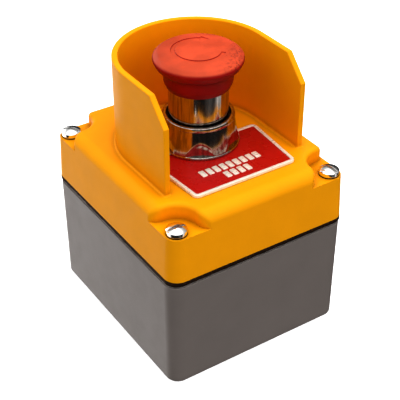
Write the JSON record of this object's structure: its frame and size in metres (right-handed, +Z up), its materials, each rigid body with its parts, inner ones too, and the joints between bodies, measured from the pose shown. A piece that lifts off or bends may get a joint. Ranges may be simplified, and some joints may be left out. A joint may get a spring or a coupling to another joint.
{
  "type": "emergency stop button",
  "caption": "Surface-mounted emergency stop button: grey box, yellow lid with a U-shaped guard, chromed bezel, and a red mushroom head that latches when pushed and turns to release.",
  "frame": {"origin": "centre of the box's underside, on the mounting plane", "axes": "+Z up out of the wall towards the mushroom head, -Y the side the legend is read from, +X to the right"},
  "size_m": [0.0926, 0.1046, 0.1331],
  "materials": {
    "grey_plastic": "fine satin texture",
    "yellow_plastic": "satin moulded, slightly glossy",
    "red_plastic": "satin moulded, lightly scuffed",
    "red_enamel": "red enamel on aluminium with a bare raised border",
    "chrome": "bright chrome plate",
    "plated_steel": "bright nickel or zinc plate",
    "spring_steel": "drawn wire",
    "brass": "turned",
    "die_cast": "die-cast zinc, tumbled",
    "gasket_rubber": "matt black",
    "black_plastic": "moulded",
    "white_plastic": "moulded"
  },
  "bodies": {
    "enclosure": {"base_box": "grey_plastic", "lid_gasket": "gasket_rubber", "lid": "yellow_plastic", "lid_screws": "plated_steel", "lid_screw_washers": "gasket_rubber", "threaded_inserts": "brass", "legend_plate": "red_enamel", "bezel_nut": "chrome", "operator_body": "die_cast", "panel_gasket": "gasket_rubber", "wiper_seal": "gasket_rubber", "latch_plugs": "plated_steel", "contact_carrier": "black_plastic", "carrier_screws": "plated_steel", "block_screws": "plated_steel", "contact_housing_left": "black_plastic", "contact_housing_right": "black_plastic", "contact_cover_left": "white_plastic", "contact_cover_right": "white_plastic", "fixed_contacts_left": "brass", "fixed_contacts_right": "brass", "terminal_clamps": "plated_steel", "terminal_screws": "plated_steel", "earth_washer": "brass", "earth_screw": "brass"},
    "plunger": {"plunger_shaft": "plated_steel", "shaft_clip": "spring_steel", "pusher_plate": "plated_steel", "pusher_screw": "plated_steel", "return_spring": "spring_steel"},
    "head": {"mushroom_head": "red_plastic", "head_sleeve": "chrome", "release_cam": "white_plastic"},
    "latch_front": {"latch_pin_front": "plated_steel", "latch_spring_front": "spring_steel"},
    "latch_rear": {"latch_pin_rear": "plated_steel", "latch_spring_rear": "spring_steel"},
    "contact_left": {"contact_bridge_left": "brass", "contact_plunger_left": "red_plastic", "contact_spring_left": "spring_steel"},
    "contact_right": {"contact_bridge_right": "brass", "contact_plunger_right": "red_plastic", "contact_spring_right": "spring_steel"}
  },
  "joints": [
    {"name": "push", "type": "slide", "parent": "enclosure", "child": "plunger", "axis": [0, 0, -1], "range_m": [0, 0.0055], "stiffness_N_per_m": 1500, "springref_m": -0.008, "deforming": ["return_spring"]},
    {"name": "twist_release", "type": "hinge", "parent": "plunger", "child": "head", "pos_m": [0, -0.0016, 0.128], "axis": [0, 0, -1], "range_deg": [0, 45]},
    {"name": "latch_front_slide", "type": "slide", "parent": "enclosure", "child": "latch_front", "axis": [0, -1, 0], "range_m": [0, 0.0021]},
    {"name": "latch_rear_slide", "type": "slide", "parent": "enclosure", "child": "latch_rear", "axis": [0, 1, 0], "range_m": [0, 0.0021]},
    {"name": "contact_left_slide", "type": "slide", "parent": "enclosure", "child": "contact_left", "axis": [0, 0, -1], "range_m": [0, 0.0055], "deforming": ["contact_spring_left"]},
    {"name": "contact_right_slide", "type": "slide", "parent": "enclosure", "child": "contact_right", "axis": [0, 0, -1], "range_m": [0, 0.0055], "deforming": ["contact_spring_right"]}
  ],
  "couplings": [
    {"joint": "latch_front_slide", "follows": "twist_release", "m_per_rad": 0.002673},
    {"joint": "latch_rear_slide", "follows": "twist_release", "m_per_rad": 0.002673},
    {"joint": "contact_left_slide", "follows": "push", "ratio": 1},
    {"joint": "contact_right_slide", "follows": "push", "ratio": 1}
  ]
}
